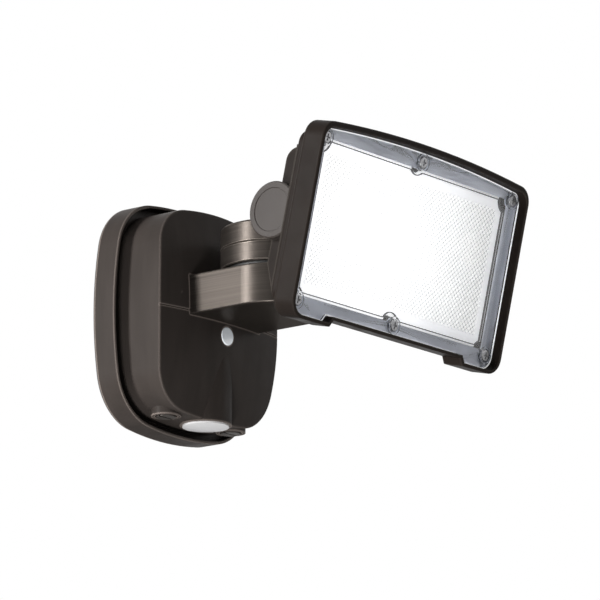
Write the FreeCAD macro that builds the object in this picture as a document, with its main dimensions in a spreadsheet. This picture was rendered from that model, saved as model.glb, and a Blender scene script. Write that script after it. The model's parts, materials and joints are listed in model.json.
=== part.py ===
import FreeCAD, Part
import math
import os
import Sketcher

# Motion sensor security light for an outside wall: a squared oval base with a tray,
# a domed cover with a sensor turret, a flat arm with a swivel drum, and a wide lamp
# head that tilts on a bolt between two cheeks. Millimetres, wall plane at y = 0,
# front towards -Y, up is +Z, origin in the middle of the base on the wall.

doc = FreeCAD.newDocument("security_light")
sheet = doc.addObject("Spreadsheet::Sheet", "Sizes")

SIZES = [
    # base tray, gasket and strap
    ("tray_half_width", 68.5), ("tray_half_height", 74.5), ("tray_front", 17.4),
    ("tray_side_radius", 230), ("tray_top_radius", 230), ("tray_corner", 37),
    ("tray_lip", 2.0), ("tray_floor_front", 10), ("tray_floor_back", 8),
    ("gasket_thick", 1.0), ("gasket_band", 6.5), ("skirt_wall", 2.5),
    ("strap_half_length", 52), ("strap_half_width", 10), ("strap_thick", 1.6),
    ("box_screw_half", 44.45), ("box_hole", 2.3), ("strap_screw_half", 25),
    ("screw_shank", 2.0), ("screw_clear", 2.2), ("wire_hole", 9), ("wire_hole_up", 24),
    ("post_radius", 4.5), ("lug_in", 26), ("lug_out", 38), ("lug_low", 59.5),
    ("lug_top", 49.5), ("lug_front", 37),
    # front cover
    ("cover_half_width", 58.9), ("cover_half_height", 67.6), ("cover_side_radius", 260),
    ("cover_top_radius", 230), ("cover_corner", 30), ("cover_front", 53.6),
    ("dome_radius", 260), ("cover_wall", 2.5), ("rim_round", 1.2),
    ("crease_down", 2.0), ("crease_wide", 0.7), ("crease_deep", 0.5),
    ("turret_radius", 16.6), ("turret_out", 35.8), ("turret_bore", 14.9), ("turret_top", 12.6),
    ("turret_low", 68.2),
    ("boss_side", 32), ("boss_out", 30), ("boss_radius", 9.5), ("boss_low", 66.8),
    ("boss_top", 60), ("boss_sink", 7.2), ("boss_sink_deep", 2.6),
    # sensor, indicator and board
    ("lens_radius", 14.8), ("lens_face", 69.2), ("lens_swell", 0.9), ("lens_back", 62.5),
    ("window_radius", 5.9), ("window_down", 12.5), ("fit_gap", 0.08),
    ("board_half", 42), ("board_low", 18), ("board_top", 48), ("board_out", 22),
    ("board_thick", 1.6), ("board_post_side", 36), ("board_post_low", 12), ("board_post_top", 42),
    # arm and swivel
    ("swivel_out", 92), ("arm_half", 34.5), ("arm_low", 4.2), ("arm_top", 21.4),
    ("arm_root", 41), ("flange_half", 45), ("flange_low", 9), ("flange_top", 27),
    ("flange_thick", 3.5), ("flange_screw", 40), ("flange_screw_up", 8.75),
    ("channel_half", 20), ("channel_low", 1.0), ("channel_top", 15), ("channel_end", 107),
    ("post_outer", 10), ("post_bore", 7), ("post_flange", 13), ("post_tip", 45),
    ("washer_radius", 31), ("drum_low", 23.4), ("drum_seam", 36.0), ("drum_top", 49.9),
    ("drum_radius", 34.5), ("running_gap", 0.06), ("cap_cavity", 30), ("cap_roof", 3.4),
    ("neck_half", 28), ("neck_back", 111), ("neck_low", 28), ("neck_top", 49.6),
    # tilt joint
    ("tilt_out", 142), ("tilt_up", 42.2), ("rest_tilt", 13.2), ("barrel_radius", 15),
    ("barrel_half", 35), ("bolt_radius", 5), ("cheek_gap", 1), ("cheek_wide", 24),
    ("cap_radius", 17.9), ("cap_deep", 6), ("cheek_boss", 17.5),
    # lamp head, measured from the tilt axis and from the middle of its front
    ("head_drop", 5.0), ("head_front", 63.6), ("rim_deep", 16.3), ("head_half", 105.5),
    ("head_crown", 1000), ("head_shoulder", 56.3), ("head_foot", 63.6), ("head_notch", 59.2),
    ("foot_in", 67), ("foot_slope", 3), ("head_corner", 11), ("step_half", 85),
    ("step_up", 54), ("step_corner", 9), ("step_back", 26.5), ("cheek_back", 0.8),
    ("cheek_top", 46), ("cheek_low", 46), ("cheek_round", 9), ("head_wall", 2.5),
    ("glass_half", 103), ("glass_crown", 1000), ("glass_shoulder", 53.3), ("glass_foot", 61.1),
    ("glass_notch", 56.8), ("glass_corner", 8.5), ("glass_gap", 0.3), ("seat_front", 53.4),
    ("glass_back", 54.4), ("glass_front", 57.0), ("seat_land", 9), ("cavity_up", 48.5),
    ("cavity_down", 50), ("cavity_floor", 49.6), ("pan_up", 49),
    ("pan_floor", 29), ("lug_radius", 4.6), ("screw_land", 8), ("top_screw", 47.3),
    ("low_screw", 52.5), ("mid_top_screw", 51.8), ("mid_low_screw", 50.8),
    ("panel_land", 9.7), ("panel_up", 47.8), ("panel_down", 48.3), ("panel_back", 49.6),
    ("panel_thick", 2.4), ("chip_pitch", 24), ("chip_rise", 22),
]

VALUE = {}
for line, (alias, number) in enumerate(SIZES, start=1):
    sheet.set("A%d" % line, alias)
    sheet.set("B%d" % line, str(number))
    sheet.setAlias("B%d" % line, alias)
    VALUE[alias] = float(number)
doc.recompute()


class Dim:
    """A size that carries its number and the sheet expression behind it."""

    def __init__(self, number, text):
        self.number = float(number)
        self.text = text

    def __add__(self, other):
        other = as_dim(other)
        return Dim(self.number + other.number, "(%s + %s)" % (self.text, other.text))

    def __sub__(self, other):
        other = as_dim(other)
        return Dim(self.number - other.number, "(%s - %s)" % (self.text, other.text))

    def __mul__(self, factor):
        return Dim(self.number * factor, "(%s * %s)" % (self.text, factor))

    def __neg__(self):
        return Dim(-self.number, "(0 - %s)" % self.text)


def as_dim(value):
    if isinstance(value, Dim):
        return value
    return Dim(value, "(%s)" % value)


def d(alias):
    return Dim(VALUE[alias], "Sizes.%s" % alias)


def new_body(label):
    item = doc.addObject("PartDesign::Body", label)
    item.Label = label
    if hasattr(item, "AllowCompound"):
        item.AllowCompound = True
    return item


def new_sketch(item, name, role, offset=0):
    sk = item.newObject("Sketcher::SketchObject", name)
    plane = [f for f in item.Origin.OriginFeatures if f.Role == role][0]
    sk.AttachmentSupport = [(plane, "")]
    sk.MapMode = "FlatFace"
    offset = as_dim(offset)
    sk.AttachmentOffset = FreeCAD.Placement(
        FreeCAD.Vector(0, 0, offset.number), FreeCAD.Rotation())
    sk.setExpression("AttachmentOffset.Base.z", offset.text)
    return sk


def front(item, name, offset=0):
    return new_sketch(item, name, "XZ_Plane", offset)


def level(item, name, offset=0):
    return new_sketch(item, name, "XY_Plane", offset)


def side(item, name, offset=0):
    return new_sketch(item, name, "YZ_Plane", offset)


def bind(sk, constraint, dim):
    index = sk.addConstraint(constraint)
    sk.setExpression("Constraints[%d]" % index, dim.text)


def fix_point(sk, geo, pos, x, y):
    x = as_dim(x)
    y = as_dim(y)
    if abs(x.number) < 1e-9:
        sk.addConstraint(Sketcher.Constraint("PointOnObject", geo, pos, -2))
    else:
        bind(sk, Sketcher.Constraint("DistanceX", -1, 1, geo, pos, x.number), x)
    if abs(y.number) < 1e-9:
        sk.addConstraint(Sketcher.Constraint("PointOnObject", geo, pos, -1))
    else:
        bind(sk, Sketcher.Constraint("DistanceY", -1, 1, geo, pos, y.number), y)


def circle(sk, x, y, radius):
    x = as_dim(x)
    y = as_dim(y)
    radius = as_dim(radius)
    centre = FreeCAD.Vector(x.number, y.number, 0)
    geo = sk.addGeometry(Part.Circle(centre, FreeCAD.Vector(0, 0, 1), radius.number))
    fix_point(sk, geo, 3, x, y)
    bind(sk, Sketcher.Constraint("Radius", geo, radius.number), radius)


def arc_between(first, last, radius, turn):
    """Arc from first to last, centre on the left for turn = 1 and right for turn = -1."""
    chord = last - first
    half = chord.Length / 2
    left = FreeCAD.Vector(-chord.y, chord.x, 0).normalize()
    rise = math.sqrt(max(radius ** 2 - half ** 2, 0))
    centre = (first + last) * 0.5 + left * rise * turn
    start = first if turn > 0 else last
    end = last if turn > 0 else first
    a0 = math.atan2(start.y - centre.y, start.x - centre.x)
    a1 = math.atan2(end.y - centre.y, end.x - centre.x)
    if a1 <= a0:
        a1 += 2 * math.pi
    ring = Part.Circle(centre, FreeCAD.Vector(0, 0, 1), radius)
    return Part.ArcOfCircle(ring, a0, a1)


def outline(sk, points, arcs=None):
    """Closed outline; arcs gives a radius and a turn for the edge after a point."""
    arcs = arcs or {}
    corners = [(as_dim(x), as_dim(y)) for x, y in points]
    places = [FreeCAD.Vector(x.number, y.number, 0) for x, y in corners]
    edges = []
    count = len(places)
    for i in range(count):
        here = places[i]
        there = places[(i + 1) % count]
        if i in arcs:
            radius, turn = arcs[i]
            geo = sk.addGeometry(arc_between(here, there, radius.number, turn))
            edges.append((geo, 1, 2) if turn > 0 else (geo, 2, 1))
        else:
            geo = sk.addGeometry(Part.LineSegment(here, there))
            edges.append((geo, 1, 2))
    for i in range(count):
        geo, _, last = edges[i]
        after, first, _ = edges[(i + 1) % count]
        sk.addConstraint(Sketcher.Constraint("Coincident", geo, last, after, first))
    for i in range(count):
        geo, first, _ = edges[i]
        fix_point(sk, geo, first, corners[i][0], corners[i][1])
        if i in arcs:
            radius = arcs[i][0]
            bind(sk, Sketcher.Constraint("Radius", geo, radius.number), radius)


def box_outline(sk, x0, y0, x1, y1):
    outline(sk, [(x0, y0), (x1, y0), (x1, y1), (x0, y1)])


def squared_oval(sk, half_x, half_y, side_radius, top_radius, corner):
    """Eight tangent arcs: four long ones on the sides and four at the corners."""
    side_c = FreeCAD.Vector(half_x.number - side_radius.number, 0, 0)
    top_c = FreeCAD.Vector(0, half_y.number - top_radius.number, 0)
    r1 = side_radius.number - corner.number
    r2 = top_radius.number - corner.number
    gap = top_c - side_c
    along = (r1 ** 2 - r2 ** 2 + gap.Length ** 2) / (2 * gap.Length)
    height = math.sqrt(r1 ** 2 - along ** 2)
    unit = FreeCAD.Vector(gap).normalize()
    across = FreeCAD.Vector(-unit.y, unit.x, 0)
    options = [side_c + unit * along + across * height, side_c + unit * along - across * height]
    middle = max(options, key=lambda c: c.x + c.y)
    a_side = math.atan2(middle.y - side_c.y, middle.x - side_c.x)
    a_top = math.atan2(middle.y - top_c.y, middle.x - top_c.x)
    up = FreeCAD.Vector(0, 0, 1)
    half_turn = math.pi
    pieces = []
    for k in range(4):
        sx = -1 if k in (1, 2) else 1
        sy = -1 if k in (2, 3) else 1
        corner_c = FreeCAD.Vector(sx * middle.x, sy * middle.y, 0)
        starts = [a_side, half_turn - a_top, half_turn + a_side, 2 * half_turn - a_top]
        ends = [a_top, half_turn - a_side, half_turn + a_top, 2 * half_turn - a_side]
        ring = Part.Circle(corner_c, up, corner.number)
        pieces.append(("corner", Part.ArcOfCircle(ring, starts[k], ends[k])))
        if k % 2 == 0:
            ring = Part.Circle(FreeCAD.Vector(0, sy * top_c.y, 0), up, top_radius.number)
            span = (a_top, half_turn - a_top) if k == 0 else (half_turn + a_top, 2 * half_turn - a_top)
        else:
            sign = -1 if k == 1 else 1
            ring = Part.Circle(FreeCAD.Vector(sign * side_c.x, 0, 0), up, side_radius.number)
            span = (half_turn - a_side, half_turn + a_side) if k == 1 else (-a_side, a_side)
        pieces.append(("long%d" % k, Part.ArcOfCircle(ring, span[0], span[1])))
    geos = [sk.addGeometry(curve) for _, curve in pieces]
    for i, geo in enumerate(geos):
        after = geos[(i + 1) % len(geos)]
        sk.addConstraint(Sketcher.Constraint("Tangent", geo, 2, after, 1))
    for (kind, _), geo in zip(pieces, geos):
        if kind == "corner":
            bind(sk, Sketcher.Constraint("Radius", geo, corner.number), corner)
        elif kind in ("long0", "long2"):
            offset = half_y - top_radius
            if kind == "long2":
                offset = -offset
            sk.addConstraint(Sketcher.Constraint("PointOnObject", geo, 3, -2))
            bind(sk, Sketcher.Constraint("DistanceY", -1, 1, geo, 3, offset.number), offset)
            bind(sk, Sketcher.Constraint("Radius", geo, top_radius.number), top_radius)
        else:
            offset = half_x - side_radius
            if kind == "long1":
                offset = -offset
            sk.addConstraint(Sketcher.Constraint("PointOnObject", geo, 3, -1))
            bind(sk, Sketcher.Constraint("DistanceX", -1, 1, geo, 3, offset.number), offset)
            bind(sk, Sketcher.Constraint("Radius", geo, side_radius.number), side_radius)


def tray_oval(sk, inset):
    squared_oval(sk, d("tray_half_width") - inset, d("tray_half_height") - inset,
                 d("tray_side_radius") - inset, d("tray_top_radius") - inset,
                 d("tray_corner") - inset)


def cover_oval(sk, inset):
    squared_oval(sk, d("cover_half_width") - inset, d("cover_half_height") - inset,
                 d("cover_side_radius") - inset, d("cover_top_radius") - inset,
                 d("cover_corner") - inset)


def pad(item, sk, length, back=False):
    length = as_dim(length)
    feature = item.newObject("PartDesign::Pad", sk.Name + "_pad")
    feature.Profile = sk
    feature.Reversed = back
    feature.Length = length.number
    feature.setExpression("Length", length.text)
    return feature


def pocket(item, sk, length, ahead=False):
    length = as_dim(length)
    doc.recompute()
    before = item.Shape.Volume
    feature = item.newObject("PartDesign::Pocket", sk.Name + "_cut")
    feature.Profile = sk
    feature.Reversed = ahead
    feature.Length = length.number
    feature.setExpression("Length", length.text)
    doc.recompute()
    if item.Shape.Volume > before - 0.01:
        raise ValueError("pocket removes nothing: " + feature.Name)
    return feature


def turn(item, sk, axis="V_Axis"):
    feature = item.newObject("PartDesign::Revolution", sk.Name + "_turn")
    feature.Profile = sk
    feature.ReferenceAxis = (sk, [axis])
    feature.Angle = 360
    return feature


def turn_cut(item, sk, axis):
    doc.recompute()
    before = item.Shape.Volume
    feature = item.newObject("PartDesign::Groove", sk.Name + "_groove")
    feature.Profile = sk
    feature.ReferenceAxis = (sk, [axis])
    feature.Angle = 360
    doc.recompute()
    if item.Shape.Volume > before - 0.01:
        raise ValueError("groove removes nothing: " + feature.Name)
    return feature


def soften(item, name, radius, choose, kind="PartDesign::Fillet"):
    """Rounds or bevels the edges of the body that the test picks."""
    doc.recompute()
    radius = as_dim(radius)
    base = item.Tip
    names = ["Edge%d" % (i + 1) for i, e in enumerate(base.Shape.Edges) if choose(e)]
    if not names:
        raise ValueError("no edge picked for " + name)
    feature = item.newObject(kind, name)
    feature.Base = (base, names)
    size = "Radius" if kind == "PartDesign::Fillet" else "Size"
    setattr(feature, size, radius.number)
    feature.setExpression(size, radius.text)
    doc.recompute()
    return feature


def edge_box(e):
    b = e.BoundBox
    return b.XMin, b.XMax, b.YMin, b.YMax, b.ZMin, b.ZMax


def along_y_at(points, reach):
    """Picks edges along Y whose x and z lie near one of the points."""
    def choose(e):
        x0, x1, y0, y1, z0, z1 = edge_box(e)
        if x1 - x0 > 0.05 or z1 - z0 > 0.05 or y1 - y0 < 0.5:
            return False
        return any(abs(x0 - px) < reach and abs(z0 - pz) < reach for px, pz in points)
    return choose


PARTS = []


def keep(item, place=None):
    if place is not None:
        item.Placement = place
    PARTS.append(item)


SWIVEL_PLACE = FreeCAD.Placement(
    FreeCAD.Vector(0, -VALUE["swivel_out"], 0), FreeCAD.Rotation())
TILT_PLACE = FreeCAD.Placement(
    FreeCAD.Vector(0, -VALUE["tilt_out"], VALUE["tilt_up"]),
    FreeCAD.Rotation(FreeCAD.Vector(1, 0, 0), VALUE["rest_tilt"]))
BARREL_PLACE = FreeCAD.Placement(
    FreeCAD.Vector(0, -VALUE["tilt_out"], VALUE["tilt_up"]), FreeCAD.Rotation())


def cross_recess(item, name, centres, depth_from, depth, half_length=2.6, half_width=0.6):
    """Two crossing slots in each screw head, cut from the front."""
    for k, (lx, ly) in enumerate(((half_length, half_width), (half_width, half_length))):
        sk = front(item, "%s%d" % (name, k), depth_from)
        for cx, cz in centres:
            cx = as_dim(cx)
            cz = as_dim(cz)
            box_outline(sk, cx - lx, cz - ly, cx + lx, cz + ly)
        pocket(item, sk, depth)


# Wall gasket, a flat foam ring under the rim of the tray
gasket = new_body("wall_gasket")
sk = front(gasket, "gasket_ring")
tray_oval(sk, as_dim(0.5))
tray_oval(sk, d("gasket_band"))
pad(gasket, sk, d("gasket_thick"))
keep(gasket)

# Mounting strap that is screwed to the outlet box
strap = new_body("mounting_strap")
sk = front(strap, "strap_bar")
box_outline(sk, -d("strap_half_length"), -d("strap_half_width"),
            d("strap_half_length"), d("strap_half_width"))
circle(sk, d("box_screw_half"), 0, d("box_hole"))
circle(sk, -d("box_screw_half"), 0, d("box_hole"))
circle(sk, d("strap_screw_half"), 0, d("screw_shank") + d("fit_gap"))
circle(sk, -d("strap_screw_half"), 0, d("screw_shank") + d("fit_gap"))
circle(sk, 0, 0, 6)
pad(strap, sk, d("strap_thick"))
soften(strap, "strap_corners", 4, along_y_at(
    [(sx * VALUE["strap_half_length"], sz * VALUE["strap_half_width"])
     for sx in (-1, 1) for sz in (-1, 1)], 0.5))
keep(strap)

# Base tray: skirt to the wall, floor, and a thin lip round a dark groove
tray = new_body("base_tray")
sk = front(tray, "tray_outer", d("gasket_thick"))
tray_oval(sk, as_dim(0))
pad(tray, sk, d("tray_front") - d("gasket_thick"))
sk = front(tray, "tray_groove", d("tray_front"))
tray_oval(sk, d("tray_lip"))
pocket(tray, sk, d("tray_front") - d("tray_floor_front"))
sk = front(tray, "tray_back", d("gasket_thick"))
tray_oval(sk, d("skirt_wall"))
pocket(tray, sk, d("tray_floor_back") - d("gasket_thick"), ahead=True)
sk = front(tray, "strap_posts", d("strap_thick"))
circle(sk, d("strap_screw_half"), 0, d("post_radius"))
circle(sk, -d("strap_screw_half"), 0, d("post_radius"))
pad(tray, sk, d("tray_floor_back") - d("strap_thick") + 0.5)
sk = front(tray, "board_posts", d("tray_floor_front") - 0.5)
for sx in (-1, 1):
    circle(sk, d("board_post_side") * sx, -d("board_post_low"), 3.5)
    circle(sk, d("board_post_side") * sx, d("board_post_top"), 3.5)
pad(tray, sk, d("board_out") - d("tray_floor_front") + 0.5)
sk = front(tray, "cover_lugs", d("tray_floor_front") - 0.5)
box_outline(sk, d("lug_in"), -d("lug_low"), d("lug_out"), -d("lug_top"))
box_outline(sk, -d("lug_out"), -d("lug_low"), -d("lug_in"), -d("lug_top"))
pad(tray, sk, d("lug_front") - d("tray_floor_front") + 0.5)
sk = front(tray, "strap_holes", d("tray_floor_front"))
circle(sk, d("strap_screw_half"), 0, d("screw_clear"))
circle(sk, -d("strap_screw_half"), 0, d("screw_clear"))
circle(sk, 0, d("wire_hole_up"), d("wire_hole"))
pocket(tray, sk, d("tray_floor_front"))
sk = front(tray, "board_holes", d("board_out"))
for sx in (-1, 1):
    circle(sk, d("board_post_side") * sx, -d("board_post_low"), 1.3)
    circle(sk, d("board_post_side") * sx, d("board_post_top"), 1.3)
pocket(tray, sk, 8)
sk = level(tray, "lug_holes", -d("lug_low"))
circle(sk, d("boss_side"), -d("boss_out"), d("screw_shank") + d("fit_gap"))
circle(sk, -d("boss_side"), -d("boss_out"), d("screw_shank") + d("fit_gap"))
pocket(tray, sk, d("lug_low") - d("lug_top"), ahead=True)


def tray_front_edge(e):
    x0, x1, y0, y1, z0, z1 = edge_box(e)
    flat = y1 - y0 < 0.01 and abs(y0 + VALUE["tray_front"]) < 0.01
    mid = e.valueAt((e.FirstParameter + e.LastParameter) / 2)
    reach = max(abs(mid.x) / VALUE["tray_half_width"], abs(mid.z) / VALUE["tray_half_height"])
    return flat and (reach > 0.985 or (abs(mid.x) > 48 and abs(mid.z) > 53))


soften(tray, "tray_lip_round", 0.7, tray_front_edge)
keep(tray)

# Screws that hold the tray to the strap
tray_screws = new_body("tray_screws")
spots = [(d("strap_screw_half"), 0), (-d("strap_screw_half"), 0)]
sk = front(tray_screws, "tray_screw_shanks", 0.2)
for cx, cz in spots:
    circle(sk, cx, cz, d("screw_shank"))
pad(tray_screws, sk, d("tray_floor_front"))
sk = front(tray_screws, "tray_screw_heads", d("tray_floor_front"))
for cx, cz in spots:
    circle(sk, cx, cz, 4)
pad(tray_screws, sk, 2.4)
cross_recess(tray_screws, "tray_screw_cross", spots, d("tray_floor_front") + 2.4, 1.3)
keep(tray_screws)


# Front cover: straight sides, a domed face, the sensor turret and two screw bosses
def dome_cut(item, name, radius, half):
    """Cuts the body back to a ball whose middle lies behind the wall."""
    middle = d("dome_radius") - d("cover_front")
    rim = half
    sag = radius.number - math.sqrt(radius.number ** 2 - rim ** 2)
    edge = as_dim(round(middle.number - radius.number + sag, 6))
    sk = side(item, name)
    outline(sk, [(middle - radius, 0), (as_dim(-90), 0), (as_dim(-90), rim), (edge, rim)],
            {3: (radius, 1)})
    turn_cut(item, sk, "H_Axis")


shell = new_body("cover_shell")
sk = front(shell, "cover_outer", d("tray_floor_front"))
cover_oval(sk, as_dim(0))
pad(shell, sk, 50)
dome_cut(shell, "cover_dome", d("dome_radius"), 100)


def rim_edge(e):
    x0, x1, y0, y1, z0, z1 = edge_box(e)
    return y1 < -40 and (x1 - x0 > 3 or z1 - z0 > 3)


soften(shell, "cover_rim", d("rim_round"), rim_edge)
sk = side(shell, "face_crease")
crease_r = d("dome_radius") - d("crease_deep")
crease_x = d("dome_radius") - d("cover_front")
outline(sk, [(crease_x - crease_r, -d("crease_down")),
             (crease_x - crease_r - 4, -d("crease_down")),
             (crease_x - crease_r - 4, -d("crease_down") + d("crease_wide")),
             (crease_x - crease_r, -d("crease_down") + d("crease_wide"))])
spine = sk.addGeometry(Part.LineSegment(
    FreeCAD.Vector(crease_x.number, -20, 0), FreeCAD.Vector(crease_x.number, 20, 0)), True)
fix_point(sk, spine, 1, crease_x, -20)
fix_point(sk, spine, 2, crease_x, 20)
turn_cut(shell, sk, "Axis0")
sk = level(shell, "turret", -d("turret_low"))
circle(sk, 0, -d("turret_out"), d("turret_radius"))
pad(shell, sk, d("turret_low") - d("turret_top"))
sk = level(shell, "screw_bosses", -d("boss_low"))
for sx in (-1, 1):
    circle(sk, d("boss_side") * sx, -d("boss_out"), d("boss_radius"))
pad(shell, sk, d("boss_low") - d("boss_top"))
sk = level(shell, "boss_sinks", -d("boss_low"))
for sx in (-1, 1):
    circle(sk, d("boss_side") * sx, -d("boss_out"), d("boss_sink"))
pocket(shell, sk, d("boss_sink_deep"), ahead=True)
sk = level(shell, "boss_holes", -d("boss_low"))
for sx in (-1, 1):
    circle(sk, d("boss_side") * sx, -d("boss_out"), d("screw_clear"))
pocket(shell, sk, 12, ahead=True)
sk = front(shell, "arm_window", 62)
box_outline(sk, -d("arm_half") - 0.1, -d("arm_low") - 0.1, d("arm_half") + 0.1, d("arm_top") + 0.1)
pocket(shell, sk, 26)
sk = front(shell, "indicator_hole", 62)
circle(sk, 0, -d("window_down"), d("window_radius") + d("fit_gap"))
pocket(shell, sk, 18)
sk = front(shell, "arm_screw_holes", 40)
for sx in (-1, 1):
    circle(sk, d("flange_screw") * sx, d("flange_screw_up"), 1.55)
pocket(shell, sk, 9, ahead=True)

core = new_body("cover_core")
sk = front(core, "core_outer", 5)
cover_oval(sk, d("cover_wall"))
pad(core, sk, 55)
dome_cut(core, "core_dome", d("dome_radius") - d("cover_wall"), 100)
sk = level(core, "sensor_bore", -d("cover_half_height") - 2)
circle(sk, 0, -d("turret_out"), d("turret_bore"))
pad(core, sk, 50)
sk = level(core, "boss_stumps", -d("boss_top"))
for sx in (-1, 1):
    circle(sk, d("boss_side") * sx, -d("boss_out"), d("boss_radius"))
pocket(core, sk, 12)
sk = front(core, "flange_pads", d("arm_root") + d("flange_thick"))
for sx in (-1, 1):
    circle(sk, d("flange_screw") * sx, d("flange_screw_up"), 4)
pocket(core, sk, 14, ahead=True)

cover = doc.addObject("Part::Cut", "front_cover")
cover.Label = "front_cover"
cover.Base = shell
cover.Tool = core
keep(cover)

# Slotted screws in the two raised rings under the cover
cover_screws = new_body("cover_screws")
sk = level(cover_screws, "cover_screw_shanks", -d("boss_low") + d("boss_sink_deep"))
for sx in (-1, 1):
    circle(sk, d("boss_side") * sx, -d("boss_out"), d("screw_shank"))
pad(cover_screws, sk, 16)
sk = level(cover_screws, "cover_screw_heads", -d("boss_low") - 0.8)
for sx in (-1, 1):
    circle(sk, d("boss_side") * sx, -d("boss_out"), d("boss_sink") - 0.9)
pad(cover_screws, sk, d("boss_sink_deep") + 0.8)
sk = level(cover_screws, "cover_screw_slots", -d("boss_low") - 0.8)
for sx in (-1, 1):
    box_outline(sk, d("boss_side") * sx - 8, -d("boss_out") - 0.8,
                d("boss_side") * sx + 8, -d("boss_out") + 0.8)
pocket(cover_screws, sk, 1.6, ahead=True)
keep(cover_screws)

# Sensor: milky cup lens, ring and the sensor can behind it
turret_place = FreeCAD.Placement(FreeCAD.Vector(0, -VALUE["turret_out"], 0), FreeCAD.Rotation())
lens_cup = new_body("sensor_lens")
sk = front(lens_cup, "sensor_cup")
swell_radius = as_dim(round((VALUE["lens_radius"] ** 2 + VALUE["lens_swell"] ** 2)
                            / (2 * VALUE["lens_swell"]), 4))
outline(sk, [(0, -d("lens_face") - d("lens_swell")), (d("lens_radius"), -d("lens_face")),
             (d("lens_radius"), -d("lens_back")), (d("lens_radius") - 1.8, -d("lens_back")),
             (d("lens_radius") - 1.8, -d("lens_face") + 1.6), (0, -d("lens_face") + 1.6)],
        {0: (swell_radius, 1)})
turn(lens_cup, sk)
keep(lens_cup, turret_place)

ring = new_body("sensor_retainer")
sk = front(ring, "retainer_ring")
outline(sk, [(d("lens_radius") - 2.6, -d("lens_back")), (d("lens_radius"), -d("lens_back")),
             (d("lens_radius"), -d("lens_back") + 4), (d("lens_radius") - 2.6, -d("lens_back") + 4)])
turn(ring, sk)
keep(ring, turret_place)

can = new_body("pir_sensor")
sk = level(can, "sensor_disc", -d("lens_back") + 4)
circle(sk, 0, 0, d("lens_radius"))
pad(can, sk, 1.6)
sk = level(can, "sensor_can", -d("lens_back") + 4)
circle(sk, 0, 0, 4.6)
pad(can, sk, 3.2, back=True)
keep(can, turret_place)

# Indicator window in the face
window = new_body("indicator_window")
sk = front(window, "window_flange", 48)
circle(sk, 0, -d("window_down"), d("window_radius") + 1.6)
pad(window, sk, 1.9)
sk = front(window, "window_disc", 48)
circle(sk, 0, -d("window_down"), d("window_radius"))
pad(window, sk, d("cover_front") - 48)
soften(window, "window_round", 0.6, lambda e: abs(e.BoundBox.YMin + VALUE["cover_front"]) < 0.01
       and abs(e.BoundBox.YMax + VALUE["cover_front"]) < 0.01)
keep(window)

# Control board with relay, terminals and screws
board = new_body("control_board")
sk = front(board, "board_plate", d("board_out"))
box_outline(sk, -d("board_half"), -d("board_low"), d("board_half"), d("board_top"))
for sx in (-1, 1):
    circle(sk, d("board_post_side") * sx, -d("board_post_low"), 1.7)
    circle(sk, d("board_post_side") * sx, d("board_post_top"), 1.7)
pad(board, sk, d("board_thick"))
keep(board)

board_screws = new_body("board_screws")
spots = [(d("board_post_side") * sx, up) for sx in (-1, 1)
         for up in (-d("board_post_low"), d("board_post_top"))]
sk = front(board_screws, "board_screw_shanks", d("board_out") - 6)
for cx, cz in spots:
    circle(sk, cx, cz, 1.25)
pad(board_screws, sk, d("board_thick") + 6)
sk = front(board_screws, "board_screw_heads", d("board_out") + d("board_thick"))
for cx, cz in spots:
    circle(sk, cx, cz, 2.8)
pad(board_screws, sk, 1.8)
keep(board_screws)

board_face = d("board_out") + d("board_thick")
relay = new_body("relay")
sk = front(relay, "relay_case", board_face)
box_outline(sk, 4, 22, 32, 36)
pad(relay, sk, 12)
soften(relay, "relay_edges", 1, lambda e: e.BoundBox.YLength < 0.01
       and abs(e.BoundBox.YMin + board_face.number + 12) < 0.01)
keep(relay)

terminals = new_body("terminal_block")
sk = front(terminals, "terminal_case", board_face)
box_outline(sk, -32, 24, -6, 36)
pad(terminals, sk, 10)
sk = front(terminals, "terminal_holes", board_face + 10)
for k in range(3):
    circle(sk, -27.5 + 8.5 * k, 30, 2.4)
pocket(terminals, sk, 6)
keep(terminals)

# Arm: flange behind the face, wide flat tongue, round end under the drum
arm = new_body("swivel_arm")
sk = level(arm, "arm_tongue", -d("arm_low"))
box_outline(sk, -d("arm_half"), -d("swivel_out"), d("arm_half"), -d("arm_root"))
pad(arm, sk, d("arm_low") + d("arm_top"))
sk = level(arm, "arm_end", -d("arm_low"))
circle(sk, 0, -d("swivel_out"), d("arm_half"))
pad(arm, sk, d("arm_low") + d("arm_top"))


def arm_edge(e):
    x0, x1, y0, y1, z0, z1 = edge_box(e)
    level_edge = z1 - z0 < 0.01 and (abs(z0 + VALUE["arm_low"]) < 0.01 or abs(z0 - VALUE["arm_top"]) < 0.01)
    return level_edge and not (y1 - y0 < 0.01)


soften(arm, "arm_round", 1.2, arm_edge)
sk = front(arm, "arm_flange", d("arm_root"))
box_outline(sk, -d("flange_half"), -d("flange_low"), d("flange_half"), d("flange_top"))
pad(arm, sk, d("flange_thick"))
sk = front(arm, "arm_channel", d("arm_root"))
box_outline(sk, -d("channel_half"), d("channel_low"), d("channel_half"), d("channel_top"))
pocket(arm, sk, d("channel_end") - d("arm_root"), ahead=True)
sk = level(arm, "post_hole", d("arm_top"))
circle(sk, 0, -d("swivel_out"), d("post_outer") + 0.02)
pocket(arm, sk, d("arm_top") - d("channel_low") - 4)
sk = front(arm, "flange_holes", d("arm_root") + d("flange_thick"))
for sx in (-1, 1):
    circle(sk, d("flange_screw") * sx, d("flange_screw_up"), 1.7)
pocket(arm, sk, d("flange_thick"))
keep(arm)

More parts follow.
